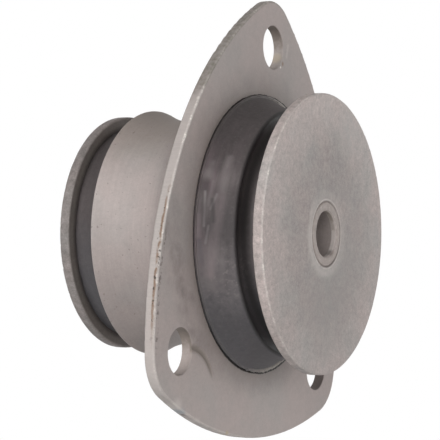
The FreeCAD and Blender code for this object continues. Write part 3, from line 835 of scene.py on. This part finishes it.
# Cloudy patches of the larger disc: y, z, radius, how much cooler, how much darker.
DISC_CLOUDS = [
    (1.0, 25.0, 13.0, 0.0, 0.11),
    (4.0, -27.0, 15.0, 0.5, 0.12),
    (-20.0, 4.0, 10.0, 0.0, 0.06),
    (20.0, -8.0, 9.0, 0.4, 0.07),
    (16.0, 41.0, 9.0, 0.6, -0.10),
    (-6.0, 47.0, 9.0, 0.2, -0.06),
    (-28.0, -34.0, 9.0, 0.0, 0.08),
]


def front_disc_steel():
    """The larger disc: brighter at the top with painted light, cloudy above and below the sleeve, with a
    pale halo round it.
    """
    finish, outward = disc_steel("front_disc_steel", FRONT_FACE, FRONT_DISC_RADIUS, 3)
    bench = finish.bench
    # Painted light: brighter towards the top and the left.
    finish.shade(0.955 + bench.z / FRONT_DISC_RADIUS * 0.07 - bench.y / FRONT_DISC_RADIUS * 0.04)
    flecks = bench.noise(3.2, 3.0, 9)
    for y, z, size, cooler, darker in DISC_CLOUDS:
        cloud = bench.spot(y, z, size, 0.8) * (0.8 + flecks)
        finish.tint(cloud * cooler, COOL_STEEL)
        finish.shade(1.0 - cloud * darker)
    halo = abs(bench.r + flecks * 1.8 - 14.4).below(1.6, 1.6)
    finish.tint(halo * (0.16 + 0.30 * (0.0 - bench.y - bench.z).above(4.0, 14.0)), PALE_STEEL)
    ridge = abs(bench.r - SLEEVE_SKIN - 0.75).below(0.28, 0.25) * (0.6 + flecks * 0.8)
    finish.tint(ridge * 0.85, PALE_STEEL)
    joint = abs(bench.r - SLEEVE_SKIN - 0.15).below(0.25, 0.2) * outward.above(-1.5, 0.3)
    finish.tint(joint * (0.44 - bench.z / 60.0), DARK_SCALE)
    finish.tint(bench.ball(FRONT_FACE, -47.5, -23.6, 0.8) * 0.9, BRIGHT_STEEL)
    return finish.lay(STEEL_METALLIC, STEEL_SPECULAR)


def rear_disc_steel():
    """The smaller disc: darker all over, and browner with painted shade on the side that faces the shell."""
    finish, outward = disc_steel("rear_disc_steel", REAR_FACE, REAR_DISC_RADIUS, 31)
    bench = finish.bench
    # Painted shade on the side that faces the shell, browner, and deepest by the rubber's seat.
    inner = outward.below(-DISC_THICKNESS + 0.5, 0.25) * bench.r.below(REAR_DISC_RADIUS - 0.6, 0.5)
    finish.tint(inner * 0.5, OILY_BROWN)
    finish.shade(1.0 - (1.0 - inner) * 0.41)
    finish.shade(1.0 - inner * (0.52 + 0.25 * bench.r.below(REAR_SEAT_RADIUS + 1.2, 1.2)))
    joint = abs(bench.r - SLEEVE_SKIN - 0.12).below(0.22, 0.18) * outward.above(-1.5, 0.3)
    finish.tint(joint * 0.85, DARK_SCALE)
    return finish.lay(STEEL_METALLIC, STEEL_SPECULAR)


def sleeve_steel():
    """Turned tube: fine rings, oily patches on its ends, and painted shade deep in its bore, with painted
    light and brown by its mouth.
    """
    bench = Bench("sleeve_steel")
    finish = blasted_steel(bench, 0.8, 0.8, 0.2, 61)
    rings = bench.noise(1.0, 2.0, 62, at=bench.round_bore(0.28, 60.0))
    finish.shade(0.95 + rings * 0.16)
    finish.relief = finish.relief + rings * 0.03
    # Painted shade deep in the bore; painted light on its wall by the mouth, browner above.
    in_bore = bench.r.below(SLEEVE_BORE + 0.1, 0.1)
    by_mouth = in_bore * bench.x.above(FRONT_FACE - 1.9, 0.35)
    finish.tint(in_bore * 0.55 * (1 - by_mouth), DARK_SCALE)
    finish.tint(by_mouth * 0.55, PALE_STEEL)
    brown = by_mouth * (bench.z + bench.noise(2.5, 2.0, 63) * 6.0).above(3.5, 3.0)
    finish.tint(brown * 0.75, OILY_BROWN)
    finish.tint(bench.ball(FRONT_FACE - 1.0, 5.6, -6.4, 1.6) * 0.6, DARK_SCALE)
    on_end = bench.r.above(SLEEVE_BORE + 0.3, 0.2)
    finish.tint(on_end * (0.30 + bench.noise(2.0, 3.0, 64) * 0.5), OILY_BROWN)
    finish.tint(on_end * bench.noise(1.4, 2.0, 65).above(0.25, 0.15) * 0.35, PALE_STEEL)
    finish.tint(bench.r.above(SLEEVE_SKIN - 0.3, 0.15) * 0.35, DARK_SCALE)
    return finish.lay(STEEL_METALLIC, STEEL_SPECULAR)


# The rubber's colours, from bare to dusty, chafed and deep in shadow; the dusty and chafed ones also serve
# for painted light and highlight.
RUBBER = (0.112, 0.0965, 0.0965)
DUST_AND_LIGHT_RUBBER = (0.245, 0.218, 0.216)
PURPLE_BLOOM = (0.180, 0.140, 0.149)
PURPLE_DUST = (0.262, 0.217, 0.222)
PALE_DUST = (0.33, 0.30, 0.30)
CHAFE_AND_HIGHLIGHT_RUBBER = (0.46, 0.42, 0.385)
SLATE_RUBBER = (0.108, 0.108, 0.116)
DEEP_RUBBER = (0.026, 0.024, 0.024)

# Dusty smears on the lobe's left: turn in degrees, x, radius and strength.
DUST_SMEARS = [
    (162.5, 2.0, 2.2, 0.75),
    (163, 8.0, 4.5, 0.32),
    (173, 8.0, 4.0, 0.22),
    (176.5, 2.5, 5.0, 0.36),
    (195.5, 6.0, 5.0, 0.38),
    (205, 4.5, 5.0, 0.38),
]

# Streaks on the lobe's left: the turns and x that each one runs through, its width, strength and colour.
LOBE_STREAKS = [
    ([(153, 7.5), (159, 7.5), (169, 7.5)], 2.3, 0.60, DUST_AND_LIGHT_RUBBER),
    ([(172, 7.5), (182, 7.2), (194, 5.7), (204, 3.7)], 3.1, 0.85, PURPLE_DUST),
    ([(170, 2.2), (184, 2.8)], 0.8, 0.80, PALE_DUST),
    ([(165, 4.1), (175.5, 3.7)], 0.9, 0.60, DUST_AND_LIGHT_RUBBER),
    ([(170.5, 6.0), (177, 4.5)], 0.8, 0.60, PALE_DUST),
    ([(184, 4.2), (191, 3.3)], 0.8, 0.50, PALE_DUST),
    ([(180, 1.0), (188, 1.1)], 1.8, 0.80, PURPLE_DUST),
    ([(190, 1.4), (198.5, 1.7)], 1.6, 0.55, SLATE_RUBBER),
    ([(194, 11.0), (211, 8.4)], 1.4, 0.40, DEEP_RUBBER),
    ([(165, 2.2), (169, 2.4)], 1.8, 0.20, DEEP_RUBBER),
    ([(173, 4.8), (182, 5.7)], 1.2, 0.45, DEEP_RUBBER),
    ([(157, 2.4), (162, 2.0)], 2.0, 0.45, DUST_AND_LIGHT_RUBBER),
]


def moulded_rubber():
    """Black rubber gone grey: painted shade above and slate below, with a lip chafed pale and painted with a
    highlight, and scuffs by the crest.

    Dust and a purple bloom are drawn out in streaks round the left flank.
    """
    bench = Bench("moulded_rubber")
    finish = Finish(bench, RUBBER, 0.55)
    clouds = bench.noise(14.0, 3.0, 70)
    mottle = bench.noise(2.0, 3.0, 71)
    grit = bench.noise(0.6, 2.0, 72)
    lobe = bench.x.above(0.0, 0.3)
    flank = lobe * bench.r.above(46.6, 0.5)
    # Tinted slate below, and painted shade darkens it above.
    below = (bench.z + clouds * 14.0).below(-12.0, 16.0)
    above = (bench.z + clouds * 12.0).above(18.0, 16.0)
    finish.tint(below * 0.7, SLATE_RUBBER)
    finish.shade(1.0 + clouds * 0.16 + mottle * 0.16 + grit * 0.12 - above * 0.28)

    # Dust and bloom lie in streaks drawn out round the left flank, and thin out over the rest of it.
    left = (0.0 - bench.y / ROUND_RADIUS).above(0.80, 0.12) * abs(bench.z - 2.0).below(21.0, 12.0)
    outer = bench.r.above(47.9, 1.0)
    fine = bench.noise(1.0, 3.0, 73, at=bench.round_bore(0.6, 16.0))
    broad = bench.noise(1.0, 3.0, 74, at=bench.round_bore(2.0, 24.0))
    finish.tint(broad.above(-0.05, 0.3) * flank * (0.05 + 0.85 * left * (0.35 + 0.65 * outer)), PURPLE_BLOOM)
    finish.tint(fine.above(0.12, 0.18) * flank * (0.03 + 0.30 * left * (0.2 + 0.8 * outer)), DUST_AND_LIGHT_RUBBER)
    smears = bench.noise(1.0, 4.0, 77, at=bench.round_bore(1.2, 7.0))
    for turn, x, size, strength in DUST_SMEARS:
        smear = bench.ball(*on_flank(turn, x), size, 0.6) * (0.75 + smears * 1.2).within(0.0, 1.0)
        finish.tint(smear * strength, DUST_AND_LIGHT_RUBBER)
    for path, width, strength, colour in LOBE_STREAKS:
        streak = bench.stroke([on_flank(turn, x) for turn, x in path], width)
        thinned = streak * (0.8 + smears * 0.8).within(0.0, 1.0)
        finish.tint(thinned * strength, colour)

    # Painted shade darkens it by the crest on the left, and along the top.
    finish.shade(1.0 - bench.ball(10.2, -46.0, -1.0, 11.0, 0.5) * 0.36)
    finish.shade(1.0 - lobe * (bench.z + clouds * 4.0).above(39.0, 8.0) * 0.22)

    # Scuffs near the crest, most of them low on the left.
    low_left = bench.ball(8.0, -41.5, -21.0, 13.0, 0.6)
    finish.tint(low_left * (0.20 + mottle * 0.3 + clouds * 0.2), DUST_AND_LIGHT_RUBBER)
    scuffs = bench.noise(1.3, 4.0, 75).above(0.22, 0.12)
    finish.tint(scuffs * lobe * (0.08 + 0.45 * bench.ball(11.0, -41.0, -21.0, 9.0, 0.6)), DUST_AND_LIGHT_RUBBER)

    # The lip is chafed pale and brightened with a painted highlight, most of all on the right, above a wall
    # darkened with painted shadow that drops into the gap.
    lip = bench.x.above(0.42, 0.12) * bench.r.above(51.0, 0.25) * bench.x.below(1.3, 0.3)
    right = (bench.y / ROUND_RADIUS).above(0.02, 0.22)
    chafe = bench.noise(3.0, 2.0, 76).above(-0.2, 0.3)
    finish.tint(lip * (0.08 + 0.92 * right * (0.35 + 0.65 * chafe)), CHAFE_AND_HIGHLIGHT_RUBBER)
    wall = lobe * bench.r.above(51.80, 0.06) * bench.x.below(0.16, 0.08)
    finish.tint(wall * 0.9, DEEP_RUBBER)

    # The groove is painted deep in shadow, and painted light lies at its bottom, on the neck beside the
    # disc.
    groove = lobe * bench.x.above(12.9, 0.6)
    finish.tint(groove * 0.75 * bench.r.above(39.2, 1.2), DEEP_RUBBER)
    finish.tint(groove * bench.r.below(38.7, 0.5) * 0.40, DUST_AND_LIGHT_RUBBER)
    finish.roughness = 0.52 + clouds * 0.08 + fine * 0.08
    finish.relief = grit * 0.012 + mottle * 0.035 + fine * flank * 0.03
    return finish.lay(0.0, 0.16)


# Lamps stand round the part: the way to each, as azimuth and elevation in degrees, its distance and size in
# metres, and its power in watts.
LAMPS = {
    "front_left": (-16, 9, 1.3, 0.5, 6.3),
    "front": (22, 9, 1.3, 0.5, 6.0),
    "front_right": (50, 3, 1.3, 0.5, 2.3),
    "right": (104, -1, 0.8, 1.0, 2.9),
    "rear_left": (-125, 8, 1.3, 0.7, 6.0),
    "rear": (178, 12, 1.3, 0.7, 6.0),
}

# The share of the white world that lights the part; the lamps do the rest.
ROOM_LIGHT = 0.01

# The floor, in metres, and how much of it glows white to the camera.
FLOOR_LEVEL, FLOOR_SIZE = -0.24, 1.4
FLOOR_GREY, FLOOR_GLOW = (0.8, 0.8, 0.8, 1.0), 0.85


def light_seen(bench):
    """1 for rays that come from the camera, a glossy surface or through glass."""
    rays = bench.node("ShaderNodeLightPath").outputs
    seen = [Reading(bench, rays[f"Is {kind} Ray"]) for kind in ("Camera", "Glossy", "Transmission")]
    return seen[0].at_least(seen[1]).at_least(seen[2])


class WorldBench(Bench):
    """The studio's world, made up like a material."""

    def __init__(self, name):
        self.world = bpy.data.worlds.new(name)
        self.world.use_nodes = True
        self.tree = self.world.node_tree
        self.tree.nodes.clear()


def add_studio():
    """White surroundings, a white floor that keeps the part's shadow, and broad lamps."""
    bench = WorldBench("studio")
    seen = light_seen(bench)
    strength = ROOM_LIGHT + (1.0 - ROOM_LIGHT) * seen
    glow = bench.node("ShaderNodeBackground", {}, {"Color": (1, 1, 1, 1), "Strength": strength})
    bench.node("ShaderNodeOutputWorld", {}, {"Surface": glow.outputs["Background"]})
    bpy.context.scene.world = bench.world

    half = FLOOR_SIZE / 2
    corners = [(-half, -half, FLOOR_LEVEL), (half, -half, FLOOR_LEVEL), (half, half, FLOOR_LEVEL),
               (-half, half, FLOOR_LEVEL)]
    mesh = bpy.data.meshes.new("floor")
    mesh.from_pydata(corners, [], [(0, 1, 2, 3)])
    floor = bpy.data.objects.new("floor", mesh)
    bpy.context.scene.collection.objects.link(floor)
    bench = Bench("floor_white")
    white = bench.node("ShaderNodeEmission", {}, {"Color": (1, 1, 1, 1), "Strength": 1.0})
    paint = bench.node("ShaderNodeBsdfPrincipled", {}, {"Base Color": FLOOR_GREY, "Roughness": 0.9})
    shares = {0: light_seen(bench) * FLOOR_GLOW, 1: paint.outputs["BSDF"], 2: white.outputs["Emission"]}
    both = bench.node("ShaderNodeMixShader", {}, shares)
    bench.node("ShaderNodeOutputMaterial", {}, {"Surface": both.outputs["Shader"]})
    mesh.materials.append(bench.material)

    for name, (azimuth, elevation, distance, size, power) in LAMPS.items():
        lamp = bpy.data.lights.new(name, "AREA")
        lamp.shape, lamp.size, lamp.energy = "SQUARE", size, power
        holder = bpy.data.objects.new(name, lamp)
        away = way_to(azimuth, elevation)
        holder.location = away * distance
        holder.visible_camera = False
        holder.rotation_euler = (-away).to_track_quat("-Z", "Y").to_euler()
        bpy.context.scene.collection.objects.link(holder)


def dress(piece, material):
    """Gives a piece its one material."""
    piece.data.materials.clear()
    piece.data.materials.append(material)


add_camera()
add_studio()
pieces = make_pieces()
dress(pieces["front_disc"], front_disc_steel())
dress(pieces["rear_disc"], rear_disc_steel())
dress(pieces["inner_sleeve"], sleeve_steel())
dress(pieces["rubber_body"], moulded_rubber())
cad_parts["mounting_flange"].material_slots[0].material = flange_steel()

bpy.context.scene.view_settings.view_transform = "Standard"
